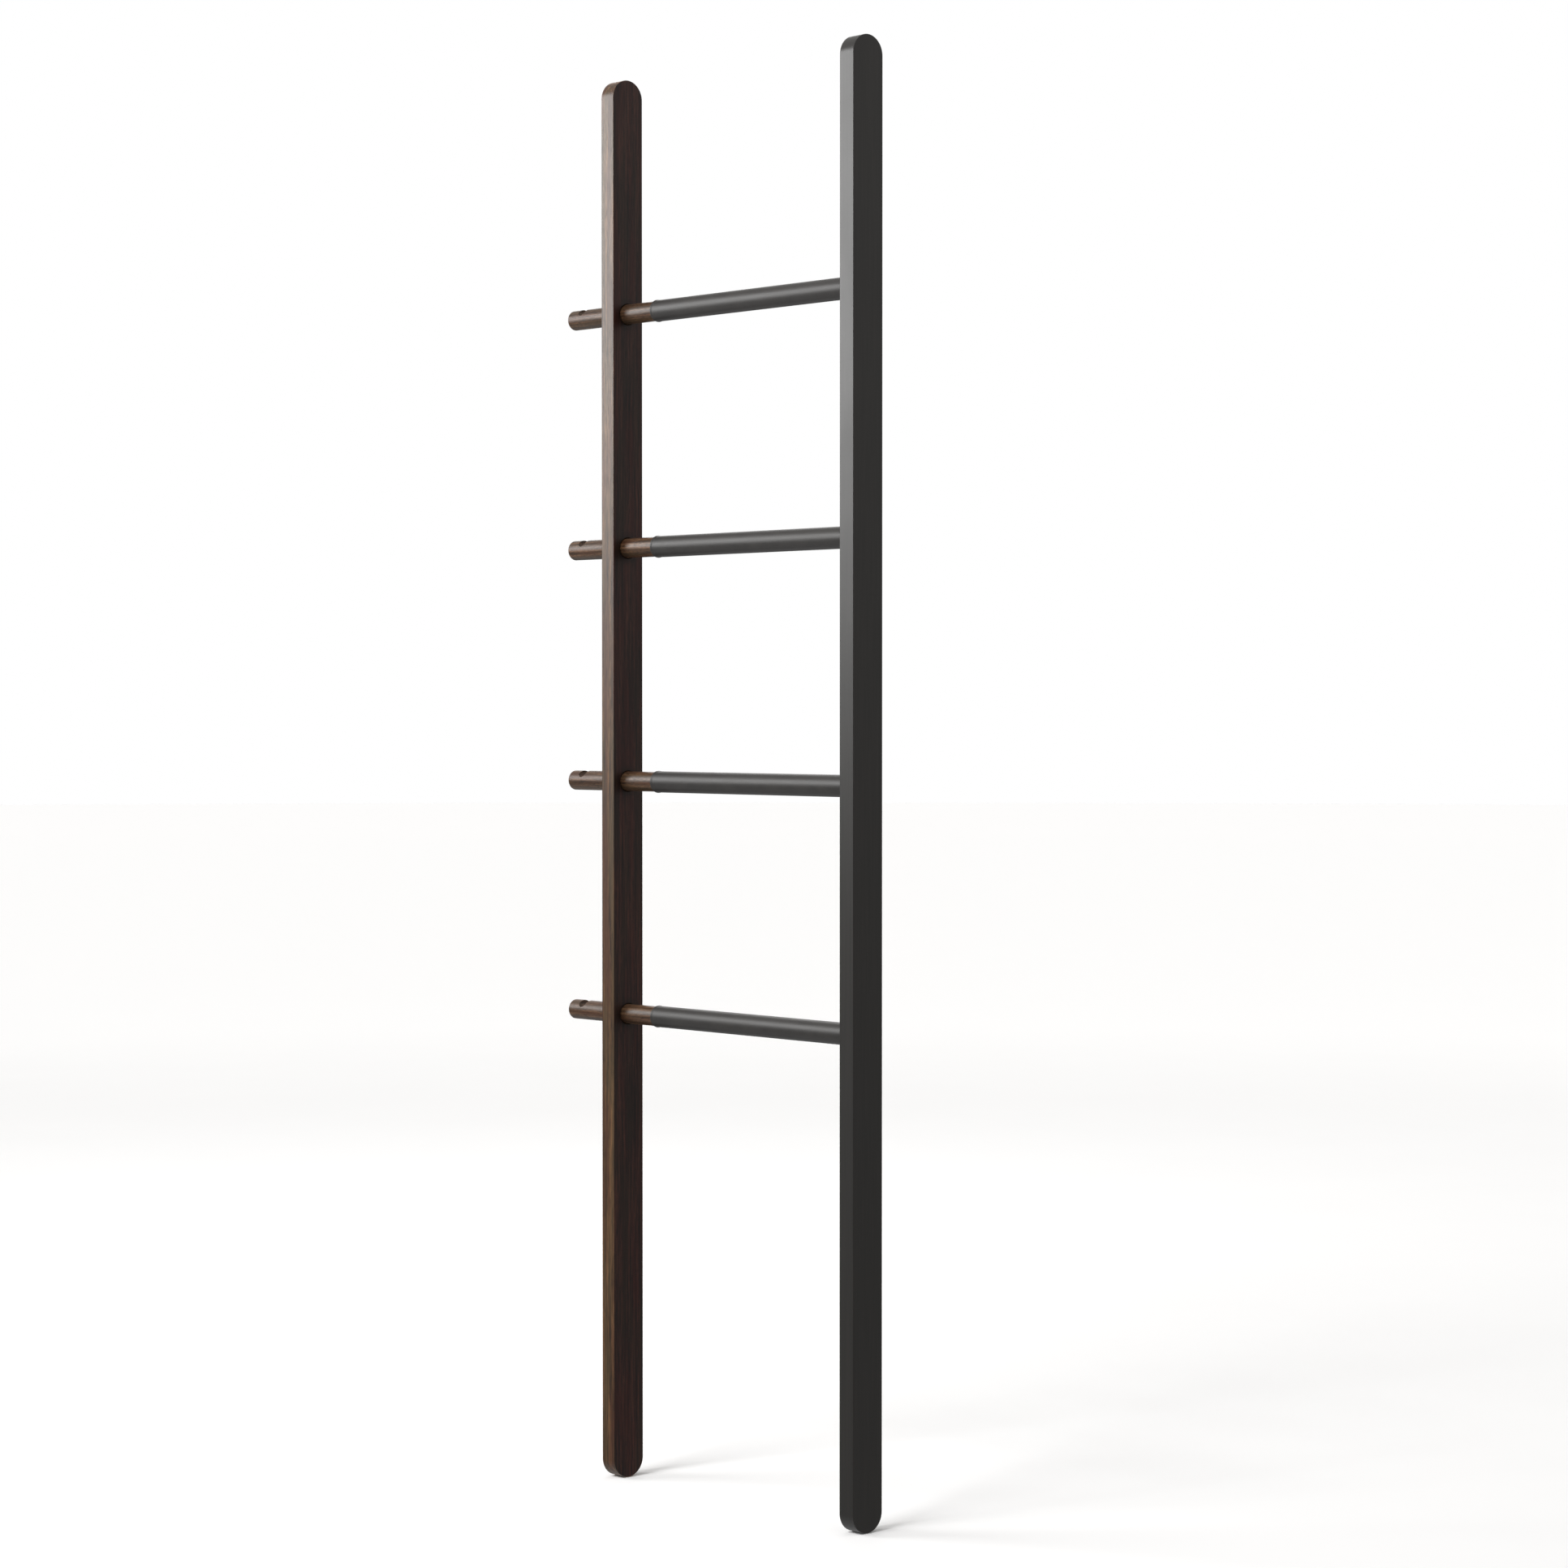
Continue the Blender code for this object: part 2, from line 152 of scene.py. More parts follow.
# %% [markdown]
# ## Colours and nodes
# A finish is written down as the colour a maker would pick from a chart, in the usual hex form. Light adds
# up in linear numbers, so one function turns the chart's colour into those. One more small function adds
# any node with its settings and its links, and every finish below is made with it.

# %% Colours and nodes
def linear(hex_colour):
    """Chart colour to linear: below 0.04045 a twelfth or so, above it a power of 2.4."""
    chart = [int(hex_colour[i : i + 2], 16) / 255 for i in (1, 3, 5)]
    return (*(c / 12.92 if c <= 0.04045 else ((c + 0.055) / 1.055) ** 2.4 for c in chart), 1)


def add(tree, kind, inputs=(), **settings):
    """Adds a node: settings are its own properties, and inputs are values or other nodes' outputs."""
    node = tree.nodes.new(kind)
    for key, value in settings.items():
        setattr(node, key, value)
    for key, value in dict(inputs).items():
        if isinstance(value, bpy.types.NodeSocket):
            tree.links.new(value, node.inputs[key])
        else:
            node.inputs[key].default_value = value
    return node


def new_finish(name, **constants):
    """A material whose even values are set on the shader's own sockets, and the piece's coordinates."""
    finish = bpy.data.materials.new(name)
    finish.use_nodes = True
    tree = finish.node_tree
    shader = tree.nodes["Principled BSDF"]
    for key, value in constants.items():
        shader.inputs[key.replace("_", " ")].default_value = value
    place = add(tree, "ShaderNodeTexCoord").outputs["Object"]
    return finish, tree, shader, place


def grains(tree, place, size, stretch=(1, 1, 1), **more):
    """Noise whose grains are about size across, stretched along an axis where stretch is below 1."""
    turned_place = add(tree, "ShaderNodeMapping", {"Vector": place, "Scale": stretch}).outputs[0]
    inputs = {"Vector": turned_place, "Scale": 1 / size, "Detail": 3.0, "Roughness": 0.5, **more}
    return add(tree, "ShaderNodeTexNoise", inputs).outputs["Fac"]


def ranged(tree, value, low, high, start=0.35, end=0.65):
    """Takes a value from start..end to low..high, and holds it there outside."""
    inputs = {"Value": value, "From Min": start, "From Max": end, "To Min": low, "To Max": high}
    return add(tree, "ShaderNodeMapRange", inputs).outputs[0]


def mixed(tree, share, first, second, way="MIX"):
    """One colour over another by share; way is how they combine."""
    inputs = {0: share, 6: first, 7: second}
    return add(tree, "ShaderNodeMix", inputs, data_type="RGBA", blend_type=way).outputs[2]


def raised(tree, shader, height, distance):
    """Height from 0 to 1 becomes bump of a real distance in the shader."""
    bump = add(tree, "ShaderNodeBump", {"Height": height, "Distance": distance, "Strength": 1.0})
    tree.links.new(bump.outputs[0], shader.inputs["Normal"])


print("mid grey in linear numbers:", [round(c, 3) for c in linear("#808080")[:3]])

# %% [markdown]
# ## Stained beech
# The rail and the dowels are beech under a dark walnut stain and a satin lacquer. Stain sinks deeper into
# the soft early wood than into the hard late wood, so growth rings show as brown and near-black lines. They
# run straight along a board and loop round where its end is cut across. Rings are therefore drawn in space,
# as shells about a pith that lies beside the board, and the board simply cuts through them. Over them lie
# broad streaks, thin fibres and short flecks, all drawn out along the grain, and wide patches where the
# stain took redder or more olive. The darkest flecks are open pores, and they alone break the satin gloss.
# A board's wide faces are darker than its edges, and its cut ends are golden. Round each hole the stain is
# darkened as painted shade, where the dowel meets the board. So the board's finish asks which way a face
# points and how far away the next hole is.

# %% Stained beech
RING_WIDTH = 4.2 * MM
STREAK_WIDTH = 4.5 * MM
FIBRE_WIDTH = 1.2 * MM
FLECK_WIDTH = 1.0 * MM
PATCH_WIDTH = 11 * MM
WAVES_PER_UNIT = 20 / (2 * math.pi)
PATCH_SHARE = 0.5
# The pores' colour, which is also laid round each hole as painted shade.
PORE_AND_SHADE_COLOUR = "#1A120D"
CUT_END_COLOUR = "#7C4F20"
# Painted shade round each hole: full up to this distance from the hole's centre, and gone one width further
# out.
HOLE_SHADE_START = 11 * MM
HOLE_SHADE_WIDTH = 8 * MM
WANDER_WIDTH = 35 * MM
PORE_DEPTH = 0.02 * MM


def along_grain(grain_axis, share):
    """A stretch that draws a pattern out along the grain: 1 / share times as long as it is wide."""
    return [share if axis == grain_axis else 1 for axis in "XYZ"]


def ring_shells(tree, place, grain_axis, pith):
    """A wave of distance from the pith; its phase wanders along the grain, so no ring runs dead straight."""
    wander = grains(tree, place, WANDER_WIDTH, along_grain(grain_axis, 0.15))
    from_pith = add(tree, "ShaderNodeMapping", {"Vector": place, "Location": pith}).outputs[0]
    inputs = {
        "Vector": from_pith,
        "Scale": 1 / (RING_WIDTH * WAVES_PER_UNIT),
        "Distortion": 6.0,
        "Detail": 2.0,
        "Detail Scale": 0.05,
        "Phase Offset": ranged(tree, wander, 0, 12, 0.2, 0.8),
    }
    wave = add(tree, "ShaderNodeTexWave", inputs, wave_type="RINGS", rings_direction=grain_axis)
    return wave.outputs["Fac"]


def weighted(tree, parts):
    """The sum of values, each times its weight."""
    total = 0.0
    for value, weight in parts:
        inputs = {0: value, 1: weight, 2: total}
        total = add(tree, "ShaderNodeMath", inputs, operation="MULTIPLY_ADD").outputs[0]
    return total


def stain_of(tree, tone, patches, flecks, colours):
    """Tone runs from dark over middle to light, patches turn it red or olive, and pores stay darkest."""
    dark, middle, light, red, olive = (linear(colour) for colour in colours)
    stain = mixed(tree, ranged(tree, tone, 0, 1, 0.12, 0.5), dark, middle)
    stain = mixed(tree, ranged(tree, tone, 0, 1, 0.5, 0.88), stain, light)
    stain = mixed(tree, ranged(tree, patches, 0, PATCH_SHARE, 0.52, 0.62), stain, red)
    stain = mixed(tree, ranged(tree, patches, PATCH_SHARE, 0, 0.38, 0.48), stain, olive)
    return mixed(tree, ranged(tree, flecks, 0.45, 0, 0.3, 0.42), stain, linear(PORE_AND_SHADE_COLOUR))


def stained_beech(name, grain_axis, pith, colours, fleck_length, gloss, wide_colours=None):
    """Shells about the pith, streaks, fibres and flecks add up to a tone; patches shift its hue."""
    finish, tree, shader, place = new_finish(name, IOR=1.5)
    shells = ring_shells(tree, place, grain_axis, pith)
    streaks = grains(tree, place, STREAK_WIDTH, along_grain(grain_axis, 0.035), Detail=3.0)
    fibres = grains(tree, place, FIBRE_WIDTH, along_grain(grain_axis, 0.03), Detail=4.0, Roughness=0.6)
    fleck_stretch = along_grain(grain_axis, 1 / fleck_length)
    flecks = grains(tree, place, FLECK_WIDTH, fleck_stretch, Detail=3.0, Distortion=0.4)
    patches = grains(tree, place, PATCH_WIDTH, along_grain(grain_axis, 0.09), Detail=2.0)
    parts = (
        (shells, 0.16),
        (ranged(tree, streaks, 0, 1), 0.36),
        (ranged(tree, fibres, 0, 1), 0.22),
        (ranged(tree, flecks, 0, 1), 0.26),
    )
    tone = weighted(tree, parts)
    stain = stain_of(tree, tone, patches, flecks, colours)
    if wide_colours:
        stain = faces_and_hole_shade(tree, place, stain, stain_of(tree, tone, patches, flecks, wide_colours))
    tree.links.new(stain, shader.inputs["Base Color"])
    tree.links.new(ranged(tree, flecks, gloss + 0.05, gloss), shader.inputs["Roughness"])
    raised(tree, shader, mixed(tree, 0.5, fibres, flecks), PORE_DEPTH)
    print(name, "grain along", grain_axis, "ring width in mm", round(RING_WIDTH / MM, 2))
    return finish


def near_holes(tree, place):
    """Distance in the board's own plane, Y and Z, to the nearest of the four holes' centres."""
    flattened = add(tree, "ShaderNodeMapping", {"Vector": place, "Scale": (0, 1, 1)}).outputs[0]
    nearest = 1.0
    for height in rung_heights:
        inputs = {0: flattened, 1: (0, 0, height)}
        reach = add(tree, "ShaderNodeVectorMath", inputs, operation="DISTANCE").outputs["Value"]
        nearest = add(tree, "ShaderNodeMath", {0: reach, 1: nearest}, operation="MINIMUM").outputs[0]
    return nearest


def faces_and_hole_shade(tree, place, stain, wide_stain):
    """Wide faces look along X and are darker, with painted shade round the holes; cut ends look along Z."""
    facing = add(tree, "ShaderNodeTexCoord").outputs["Normal"]
    parts = add(tree, "ShaderNodeSeparateXYZ", {0: facing}).outputs
    wide = add(tree, "ShaderNodeMath", {0: parts["X"]}, operation="ABSOLUTE").outputs[0]
    cut = add(tree, "ShaderNodeMath", {0: parts["Z"]}, operation="ABSOLUTE").outputs[0]
    stain = mixed(tree, ranged(tree, wide, 0, 1, 0.5, 0.9), stain, wide_stain)
    stain = mixed(tree, ranged(tree, cut, 0, 0.8, 0.75, 0.95), stain, linear(CUT_END_COLOUR))
    # Painted shade: the stain darkens near each hole and stands in for the shade where the dowel meets the
    # board.
    hole_shade = ranged(tree, near_holes(tree, place), 0.75, 0, HOLE_SHADE_START, HOLE_SHADE_START + HOLE_SHADE_WIDTH)
    return mixed(tree, hole_shade, stain, linear(PORE_AND_SHADE_COLOUR))


wood_x = sum(low_high("wood_rail", 0)) / 2
BOARD_PITH = (-wood_x - 9 * MM, 27 * MM, 0)
EDGE_COLOURS = ("#2A1C14", "#5B422C", "#8A6645", "#5C382A", "#51452F")
WIDE_COLOURS = ("#110908", "#331D19", "#573429", "#421B16", "#2C221A")
DOWEL_PITH = (0, 6 * MM, -rung_heights[0] + 4 * MM)
DOWEL_COLOURS = ("#2F1F16", "#58402D", "#846248", "#5D3A28", "#544431")
rail_finish = stained_beech(
    "walnut_stained_beech_board", "Z", BOARD_PITH, EDGE_COLOURS, 14, 0.33, WIDE_COLOURS
)
dowel_finish = stained_beech("walnut_stained_beech_dowel", "X", DOWEL_PITH, DOWEL_COLOURS, 5, 0.36)

# %% [markdown]
# ## Black lacquer on wood
# The black rail is sanded, primed and sprayed. The lacquer hides the colour of the wood and nearly all of
# its grain, but it keeps a slight orange-peel surface from the spray gun and a trace of long fibres under
# the coat. The eye reads that as a soft, slightly uneven satin sheen, so both are bump, with only a breath
# of tone.

# %% Black lacquer
PEEL_WIDTH = 2.4 * MM
PEEL_DEPTH = 0.008 * MM
TRACE_WIDTH = 1.6 * MM
DRIFT_WIDTH = 60 * MM


def black_lacquer():
    """Orange peel and faint upright fibres as bump, and a slight drift in tone and gloss."""
    finish, tree, shader, place = new_finish("satin_black_lacquer_on_wood", IOR=1.5)
    peel = grains(tree, place, PEEL_WIDTH, Detail=1.0)
    under = grains(tree, place, TRACE_WIDTH, along_grain("Z", 0.02), Detail=3.0)
    drift = grains(tree, place, DRIFT_WIDTH, along_grain("Z", 0.5))
    tone = mixed(tree, ranged(tree, under, 0, 1), linear("#353432"), linear("#3A3836"))
    tone = mixed(tree, ranged(tree, drift, 0, 0.35), tone, linear("#31302F"))
    tree.links.new(tone, shader.inputs["Base Color"])
    tree.links.new(ranged(tree, drift, 0.31, 0.35), shader.inputs["Roughness"])
    surface = mixed(tree, 0.35, peel, under)
    raised(tree, shader, surface, PEEL_DEPTH)
    print("lacquer: peel width in mm", PEEL_WIDTH / MM)
    return finish


lacquer_finish = black_lacquer()

# %% [markdown]
# ## Powder-coated steel, nylon, zinc plate and rubber
# The tubes are powder coated: the powder melts into a tough black skin with a very fine pebbled surface.
# The plugs are moulded nylon, a little waxy, with a trace of the mould's spark-eroded texture. The screws
# and pins are zinc plated, a bluish bright metal with blotchy, slightly frosted plating. The pads and rings
# are black rubber, matt and slightly greyed where it has been handled. All four share one fine texture and
# differ in its size and depth, in colour and in gloss, so one function makes them.

# %% Coating, nylon, zinc and rubber
def speckled(name, first, second, size, depth, smooth, rough, **constants):
    """Two colours and two values of roughness by one fine noise, with the same noise as bump."""
    finish, tree, shader, place = new_finish(name, **constants)
    fine = grains(tree, place, size, Detail=2.0)
    wide = grains(tree, place, 20 * size)
    blend = add(tree, "ShaderNodeMath", {0: fine, 1: wide}, operation="ADD").outputs[0]
    tree.links.new(
        mixed(tree, ranged(tree, blend, 0, 1, 0.8, 1.2), linear(first), linear(second)),
        shader.inputs["Base Color"],
    )
    tree.links.new(ranged(tree, blend, smooth, rough, 0.8, 1.2), shader.inputs["Roughness"])
    raised(tree, shader, fine, depth)
    print(name, "texture in mm", round(size / MM, 2))
    return finish


coating_finish = speckled(
    "black_powder_coated_steel", "#3C3A39", "#444240", 0.9 * MM, 0.006 * MM, 0.42, 0.46, IOR=1.5
)
nylon_finish = speckled(
    "moulded_black_nylon", "#1E1E1F", "#27272A", 0.5 * MM, 0.01 * MM, 0.42, 0.52, IOR=1.53
)
zinc_finish = speckled(
    "zinc_plated_steel", "#B9BEC4", "#D2D5D6", 0.6 * MM, 0.004 * MM, 0.24, 0.38, Metallic=1.0
)
rubber_finish = speckled(
    "moulded_black_rubber", "#1B1B1B", "#252423", 0.7 * MM, 0.02 * MM, 0.72, 0.86, IOR=1.52
)

# %% [markdown]
# ## The rails
# A rail is a board with a full half-round at each end and all its edges eased by half a millimetre. It
# could be an extruded outline with Boolean holes, but a Boolean leaves long thin faces that spoil the sheen.
# So the face is laid out like a quilt instead: a square round each hole, plain stretches between them and a
# half disc at each end. One list of cosine-spaced values sets the points across the board, round the
# half-rounds and along each square, and that is why all the borders meet point to point.

# %% How a rail is laid out
EDGE = 0.5 * MM
PAD_HALF_ANGLE = math.radians(17)
ARC_PARTS = (14, 8, 14)
EDGE_STEPS = 4
STRETCH_STEPS = 10
RAIL_LOW, RAIL_HIGH = low_high("wood_rail", 2)
RAIL_HALF = (low_high("wood_rail", 1)[1] - low_high("wood_rail", 1)[0]) / 2
INSET_HALF = RAIL_HALF - EDGE
LOWER_CENTRE = RAIL_LOW + RAIL_HALF
UPPER_CENTRE = RAIL_HIGH - RAIL_HALF

pocket_angle = PAD_HALF_ANGLE + CLEARANCE / RAIL_HALF
arc_stops = (0, math.pi / 2 - pocket_angle, math.pi / 2 + pocket_angle, math.pi)
arc_pieces = [
    np.linspace(arc_stops[i], arc_stops[i + 1], ARC_PARTS[i] + 1)[(1 if i else 0) :] for i in range(3)
]
half_turn = np.concatenate(arc_pieces)
across = -INSET_HALF * np.cos(half_turn)
square_edges = [(z - INSET_HALF, z + INSET_HALF) for z in rung_heights]
plain_ends = [LOWER_CENTRE, *(z for pair in square_edges for z in pair), UPPER_CENTRE]
plain_stretches = [
    np.linspace(plain_ends[i], plain_ends[i + 1], STRETCH_STEPS + 1) for i in range(0, len(plain_ends), 2)
]
squares = [z + across for z in rung_heights]
side_heights = np.unique(np.round(np.concatenate(plain_stretches + squares), 8))
print("points round a half-round:", len(half_turn), "heights along a side:", len(side_heights))

# %% [markdown]
# ### Pieces of the quilt
# Each function makes one kind of patch as a grid. A patch with a hole starts from its square's own border
# and slides every border point straight in to the circle, so that the bore under it can use the same
# points. The eased edge is a quarter circle carried round the whole outline, and it joins the wide faces to
# the narrow ones.

# %% Pieces of the quilt
def flat(us, vs, make):
    """A plain stretch: every pair of a value across and a value along, placed by make."""
    u, v = np.meshgrid(us, vs)
    return make(u, v)


def rim(us, vs):
    """The border of a rectangle as a closed ring of points, counter-clockwise from its lowest corner."""
    u = np.concatenate([us[:-1], np.full(len(vs) - 1, us[-1]), us[:0:-1], np.full(len(vs), us[0])])
    v = np.concatenate([np.full(len(us) - 1, vs[0]), vs[:-1], np.full(len(us) - 1, vs[-1]), vs[::-1]])
    return u, v


def holed(us, vs, radius, make, rings=7):
    """A rectangle round a hole: each border point slides straight in to the circle, by a share that grows."""
    u, v = rim(us, vs)
    middle_u, middle_v = (us[0] + us[-1]) / 2, (vs[0] + vs[-1]) / 2
    length = np.hypot(u - middle_u, v - middle_v)
    share = (np.linspace(0, 1, rings)[:, None]) ** 1.5
    scale = radius / length * (1 - share) + share
    return make(middle_u + (u - middle_u) * scale, middle_v + (v - middle_v) * scale)


def bored(us, vs, along, radii, place):
    """A bore under the same circle: along gives its depth, and radii are laid off towards the border."""
    u, v = rim(us, vs)
    middle_u, middle_v = (us[0] + us[-1]) / 2, (vs[0] + vs[-1]) / 2
    length = np.hypot(u - middle_u, v - middle_v)
    radii = np.asarray(radii)[:, None]
    depth = np.broadcast_to(np.asarray(along)[:, None], (len(along), len(u)))
    out_u = radii * (u - middle_u) / length
    out_v = radii * (v - middle_v) / length
    return place(depth, middle_u + out_u, middle_v + out_v)


def upright(x):
    """Places (across, along) on a wide face at x."""
    return lambda u, v: np.stack([np.full_like(u, x), u, v], axis=-1)


def half_disc(x, centre, way):
    """Lines from the straight chord out to the arc: height is centre + way x share x radius x sin(turn)."""
    share = np.linspace(0, 1, 9)[:, None]
    y = np.broadcast_to(across, (len(share), len(across)))
    return np.stack([np.full_like(y, x), y, centre + way * share * INSET_HALF * np.sin(half_turn)], axis=-1)


def rail_outline():
    """The inset outline and its outward direction: lower arc, rear side, upper arc, front side, and shut."""
    cosine, sine = np.cos(half_turn), np.sin(half_turn)
    ones, zeros = np.ones(len(side_heights)), np.zeros(len(side_heights))
    out_y = np.concatenate([-cosine, ones, cosine, -ones])
    out_z = np.concatenate([-sine, zeros, sine, zeros])
    z = [LOWER_CENTRE - INSET_HALF * sine, side_heights, UPPER_CENTRE + INSET_HALF * sine, side_heights[::-1]]
    return INSET_HALF * out_y, np.concatenate(z), out_y, out_z


def eased(middle, half_flat, way):
    """A quarter circle of the easing radius carried round the whole outline."""
    y, z, out_y, out_z = rail_outline()
    turn = np.linspace(0, math.pi / 2, EDGE_STEPS + 1)[:, None]
    x = np.broadcast_to(middle + way * (half_flat + EDGE * np.sin(turn)), (EDGE_STEPS + 1, len(y)))
    return np.stack([x, y + out_y * EDGE * np.cos(turn), z + out_z * EDGE * np.cos(turn)], axis=-1)


def curved_edge(xs, angles, radius, centre, way):
    """The narrow face round an end: y is -radius cos(turn), height is centre + way x radius x sin(turn)."""
    x, turn = np.meshgrid(xs, angles)
    return np.stack([x, -radius * np.cos(turn), centre + way * radius * np.sin(turn)], axis=-1)


print("border points of a holed square:", len(rim(across, across)[0]))

# %% [markdown]
# ### The narrow faces and the pad's pocket
# The front edge is plain. The rear edge of the stained rail shows four small holes where steel pins go in to
# hold the dowels. The lower half-round has a shallow pocket, with its own floor and walls, that the rubber
# pad lies in.

# %% Narrow faces
POCKET_DEPTH = 1.7 * MM
PAD_LOW, PAD_HIGH = low_high("wood_foot_pad", 0)
POCKET_HALF = (PAD_HIGH - PAD_LOW) / 2 + CLEARANCE
PIN_HOLE = 1.55 * MM
PIN_DIMPLE = 1.2 * MM


def x_first(x, y, z):
    """Places a bore that runs along X."""
    return np.stack([x, y, z], axis=-1)


def y_first(y, x, z):
    """Places a bore that runs along Y."""
    return np.stack([x, y, z], axis=-1)


def narrow_faces(middle, half_flat, pinned):
    """Front, rear, top and bottom edges of a rail, without the easing."""
    stops = [-half_flat, -POCKET_HALF, -POCKET_HALF / 3, POCKET_HALF / 3, POCKET_HALF, half_flat]
    xs = middle + np.array(stops)

    def front(u, v):
        return np.stack([u, np.full_like(u, -RAIL_HALF), v], axis=-1)

    def rear(u, v):
        return np.stack([u, np.full_like(u, RAIL_HALF), v], axis=-1)

    grids = [flat(xs, side_heights, front), curved_edge(xs, half_turn, RAIL_HALF, UPPER_CENTRE, 1)]
    grids += [flat(xs, heights, rear) for heights in plain_stretches]
    for heights in squares:
        if pinned:
            grids.append(holed(xs, heights, PIN_HOLE, rear))
            depth = RAIL_HALF - np.array([0, PIN_DIMPLE, PIN_DIMPLE])
            radii = (PIN_HOLE, PIN_HOLE, 0)
            grids.append(bored(xs, heights, depth, radii, y_first))
        else:
            grids.append(flat(xs, heights, rear))
    first, last = ARC_PARTS[0], ARC_PARTS[0] + ARC_PARTS[1]
    inside = half_turn[first : last + 1]
    floor = RAIL_HALF - POCKET_DEPTH
    grids.append(curved_edge(xs, half_turn[: first + 1], RAIL_HALF, LOWER_CENTRE, -1))
    grids.append(curved_edge(xs, half_turn[last:], RAIL_HALF, LOWER_CENTRE, -1))
    grids.append(curved_edge(xs[:2], inside, RAIL_HALF, LOWER_CENTRE, -1))
    grids.append(curved_edge(xs[-2:], inside, RAIL_HALF, LOWER_CENTRE, -1))
    grids.append(curved_edge(xs[1:-1], inside, floor, LOWER_CENTRE, -1))
    for x in (xs[1], xs[-2]):
        edges = [curved_edge([x], inside, radius, LOWER_CENTRE, -1)[:, 0] for radius in (floor, RAIL_HALF)]
        grids.append(np.stack(edges))
    for turn in (inside[0], inside[-1]):
        ends = [curved_edge(xs[1:-1], [turn], radius, LOWER_CENTRE, -1)[0] for radius in (floor, RAIL_HALF)]
        grids.append(np.stack(ends))
    return grids


pocket_size = [round(2 * POCKET_HALF / MM, 1), round(POCKET_DEPTH / MM, 1)]
print("pocket for the pad, width and depth in mm:", pocket_size)

# %% [markdown]
# ### The stained rail
# Each dowel goes right through this rail. The drill's exit and entry are broken by a small chamfer, and that
# thin ring of shade round each dowel is what shows that it is a separate piece of wood.

# %% The stained rail
HOLE_CHAMFER = 0.8 * MM
DOWEL_RADIUS = (low_high("dowel_1", 1)[1] - low_high("dowel_1", 1)[0]) / 2
HOLE_RADIUS = DOWEL_RADIUS + CLEARANCE


def rail_core(node, pinned):
    """The parts that both rails have: edges, easing and both wide faces but for their squares."""
    low, high = low_high(node, 0)
    middle, half_flat = (low + high) / 2, (high - low) / 2 - EDGE
    grids = narrow_faces(middle, half_flat, pinned)
    for way, x in ((-1, low), (1, high)):
        ring = eased(middle, half_flat, way)
        grids.append(np.concatenate([ring, ring[:, :1]], axis=1))
        grids.append(half_disc(x, LOWER_CENTRE, -1))
        grids.append(half_disc(x, UPPER_CENTRE, 1))
        grids += [flat(across, heights, upright(x)) for heights in plain_stretches]
    return grids, low, high


grids, wood_outer, wood_inner = rail_core("wood_rail", True)
for heights in squares:
    mouth = HOLE_RADIUS + HOLE_CHAMFER
    grids.append(holed(across, heights, mouth, upright(wood_outer)))
    grids.append(holed(across, heights, mouth, upright(wood_inner)))
    stops = [wood_outer, wood_outer + HOLE_CHAMFER, wood_x, wood_inner - HOLE_CHAMFER, wood_inner]
    radii = (mouth, HOLE_RADIUS, HOLE_RADIUS, HOLE_RADIUS, mouth)
    grids.append(bored(across, heights, stops, radii, x_first))
sewn("stained_rail", grids, rail_finish, "wood_side", "wood_rail")

# %% [markdown]
# ### The black rail
# Its outer face is unbroken. In its inner face each tube stands in a blind socket, and a smaller pilot hole
# takes the screw that holds the tube's plug.

# %% The black rail
BEAD_HEIGHT = 0.5 * MM
TUBE_SEAT = (low_high("tube_1", 1)[1] - low_high("tube_1", 1)[0]) / 2 - BEAD_HEIGHT + CLEARANCE
SOCKET_DEPTH = 12 * MM
PILOT_RADIUS = 2.3 * MM

grids, black_inner, black_outer = rail_core("black_rail", False)
pilot_end = low_high("plug_screw_1", 0)[1] + CLEARANCE
for heights in squares:
    grids.append(flat(across, heights, upright(black_outer)))
    grids.append(holed(across, heights, TUBE_SEAT, upright(black_inner)))
    socket_floor = black_inner + SOCKET_DEPTH
    stops = [black_inner, socket_floor, socket_floor, pilot_end, pilot_end]
    radii = (TUBE_SEAT, TUBE_SEAT, PILOT_RADIUS, PILOT_RADIUS, 0)
    grids.append(bored(across, heights, stops, radii, x_first))
sewn("lacquered_rail", grids, lacquer_finish, "black_side", "black_rail")

# %% [markdown]
# ## The tubes
# A tube is a profile turned about its own axis. At the mouth the steel is rolled into a bead, which
# stiffens the thin wall and leaves no sharp edge on the dowel. Its crown stands half a millimetre proud,
# right at the mouth, and falls back to the tube's own surface over a few millimetres.

# %% Tubes
BEAD_LENGTH = 4 * MM
TUBE_WALL = 0.6 * MM
TUBE_STEPS = 112


def tube_profile(mouth, end, radius):
    """Outside up to the bead, half a circle round the mouth's edge, and the bore back to the rail."""
    rounding = (BEAD_HEIGHT + TUBE_WALL) / 2
    rise = np.linspace(0, 1, 12)
    turn = np.linspace(0, math.pi, 11)[1:]
    body = np.linspace(end, mouth + BEAD_LENGTH, 24)[:-1]
    bead = mouth + rounding + (BEAD_LENGTH - rounding) * (1 - rise)
    x = np.concatenate([body, bead, mouth + rounding - rounding * np.sin(turn), [end], [end]])
    bead_radius = radius + BEAD_HEIGHT * rise * rise * (3 - 2 * rise)
    edge = radius + BEAD_HEIGHT - rounding + rounding * np.cos(turn)
    r = np.concatenate([np.full(len(body), radius), bead_radius, edge, [radius - TUBE_WALL], [radius]])
    return x, r


for k, height in zip(RUNGS, rung_heights):
    mouth, end = low_high(f"tube_{k}", 0)
    radius = (low_high(f"tube_{k}", 2)[1] - height) - BEAD_HEIGHT
    grid = turned(*tube_profile(mouth, end, radius), height, TUBE_STEPS)
    sewn(f"coated_tube_{k}", [grid], coating_finish, "black_side", f"tube_{k}")

